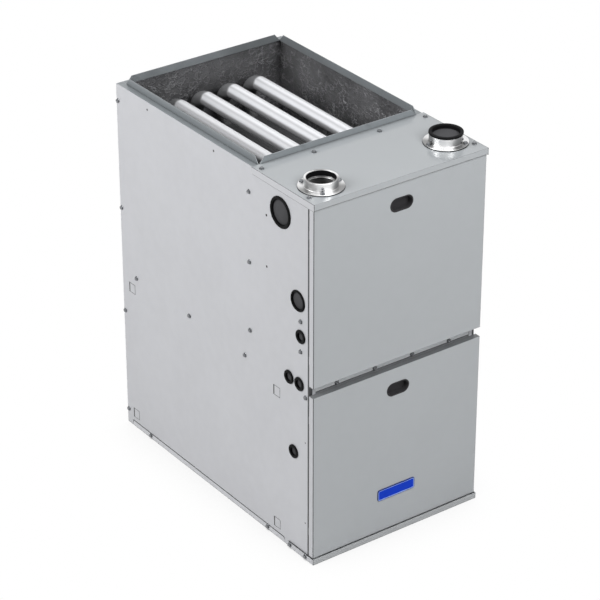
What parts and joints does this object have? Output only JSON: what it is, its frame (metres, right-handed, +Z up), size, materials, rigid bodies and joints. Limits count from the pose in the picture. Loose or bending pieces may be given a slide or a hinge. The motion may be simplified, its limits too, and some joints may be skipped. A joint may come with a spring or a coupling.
{
  "type": "forced air gas furnace",
  "caption": "Upright sheet metal gas furnace with pull-off doors, an open supply outlet over its heat exchanger tubes, pipe collars on top and a blower below.",
  "frame": {"origin": "middle of the footprint, on the floor", "axes": "+Z up, doors face -Y, +X to the right seen from the front"},
  "size_m": [0.4572, 0.7326, 0.89],
  "materials": {
    "panel_paint": "smooth light grey paint",
    "door_paint": "smooth grey paint",
    "cover_paint": "smooth grey paint",
    "galvanised": "galvanised sheet",
    "foil": "crinkled dark foil facing",
    "tube_metal": "bright satin aluminised tube",
    "collar_metal": "polished",
    "screw_metal": "zinc plated",
    "rubber_black": "matt black",
    "plastic_black": "fine grain",
    "plastic_white": "smooth",
    "plastic_grey": "smooth",
    "plate_blue": "glossy with a raised border",
    "brass": "turned",
    "board_green": "lacquered",
    "button_red": "smooth",
    "iron_pipe": "black pipe",
    "motor_black": "black enamel",
    "ceramic_white": "unglazed",
    "laminations": "varnished laminations"
  },
  "bodies": {
    "casing": {"left_side_panel": "panel_paint", "right_side_panel": "panel_paint", "back_panel": "panel_paint", "top_cover": "cover_paint", "base_frame": "galvanised", "base_side_rails": "panel_paint", "front_sill": "panel_paint", "mid_rail": "galvanised", "mid_rail_seal": "plastic_grey", "blower_deck": "galvanised", "vestibule_panel": "galvanised", "side_wall_liners": "foil", "rear_wall_liner": "foil", "door_clips": "screw_metal", "intake_collar": "collar_metal", "vent_collar": "collar_metal", "collar_gaskets": "rubber_black", "hole_plugs": "rubber_black", "wire_grommets": "rubber_black", "casing_screws": "screw_metal", "collar_screws": "screw_metal", "heat_exchanger_tubes": "tube_metal", "tube_spacer": "galvanised", "rear_collector_box": "galvanised", "condensing_coil": "tube_metal", "coil_brackets": "galvanised", "cold_header": "plastic_grey", "burner_box": "galvanised", "burners": "tube_metal", "gas_manifold": "iron_pipe", "gas_orifices": "brass", "gas_valve": "galvanised", "igniter": "ceramic_white", "flame_sensor": "ceramic_white", "rollout_switch": "screw_metal", "inducer_housing": "plastic_grey", "inducer_motor": "motor_black", "vent_pipe": "plastic_white", "pressure_switch": "plastic_grey", "condensate_trap": "plastic_black", "blower_housing": "galvanised", "blower_motor": "motor_black", "motor_mount": "screw_metal", "control_bracket": "galvanised", "control_board": "board_green", "transformer": "laminations", "door_switch": "plastic_white", "junction_box": "galvanised"},
    "upper_door": {"upper_door": "door_paint", "upper_door_grip": "plastic_black"},
    "lower_door": {"lower_door": "door_paint", "lower_door_grip": "plastic_black", "nameplate": "plate_blue"},
    "vent_cap": {"vent_cap": "rubber_black"},
    "gas_valve_knob": {"gas_valve_knob": "plastic_black"},
    "rollout_reset_button": {"rollout_reset_button": "button_red"},
    "inducer_wheel": {"inducer_wheel": "galvanised"},
    "blower_wheel": {"blower_wheel": "galvanised"},
    "door_switch_plunger": {"door_switch_plunger": "plastic_black"}
  },
  "joints": [
    {"name": "upper_door_pull", "type": "slide", "parent": "casing", "child": "upper_door", "axis": [0, -1, 0], "range_m": [0, 0.15]},
    {"name": "lower_door_pull", "type": "slide", "parent": "casing", "child": "lower_door", "axis": [0, -1, 0], "range_m": [0, 0.15]},
    {"name": "vent_cap_lift", "type": "slide", "parent": "casing", "child": "vent_cap", "axis": [0, 0, 1], "range_m": [0, 0.05]},
    {"name": "gas_valve_turn", "type": "hinge", "parent": "casing", "child": "gas_valve_knob", "pos_m": [-0.0492, -0.32, 0.6355], "axis": [0, -1, 0], "range_deg": [-90, 0]},
    {"name": "rollout_button_press", "type": "slide", "parent": "casing", "child": "rollout_reset_button", "axis": [1, 0, 0], "range_m": [0, 0.0015], "stiffness_N_per_m": 800},
    {"name": "inducer_spin", "type": "hinge", "parent": "casing", "child": "inducer_wheel", "pos_m": [0.112, -0.26, 0.5553], "axis": [0, 1, 0], "continuous": true},
    {"name": "blower_spin", "type": "hinge", "parent": "casing", "child": "blower_wheel", "pos_m": [0, 0.075, 0.222], "axis": [1, 0, 0], "continuous": true},
    {"name": "door_switch_press", "type": "slide", "parent": "casing", "child": "door_switch_plunger", "axis": [0, 1, 0], "range_m": [0, 0.004], "stiffness_N_per_m": 300}
  ]
}
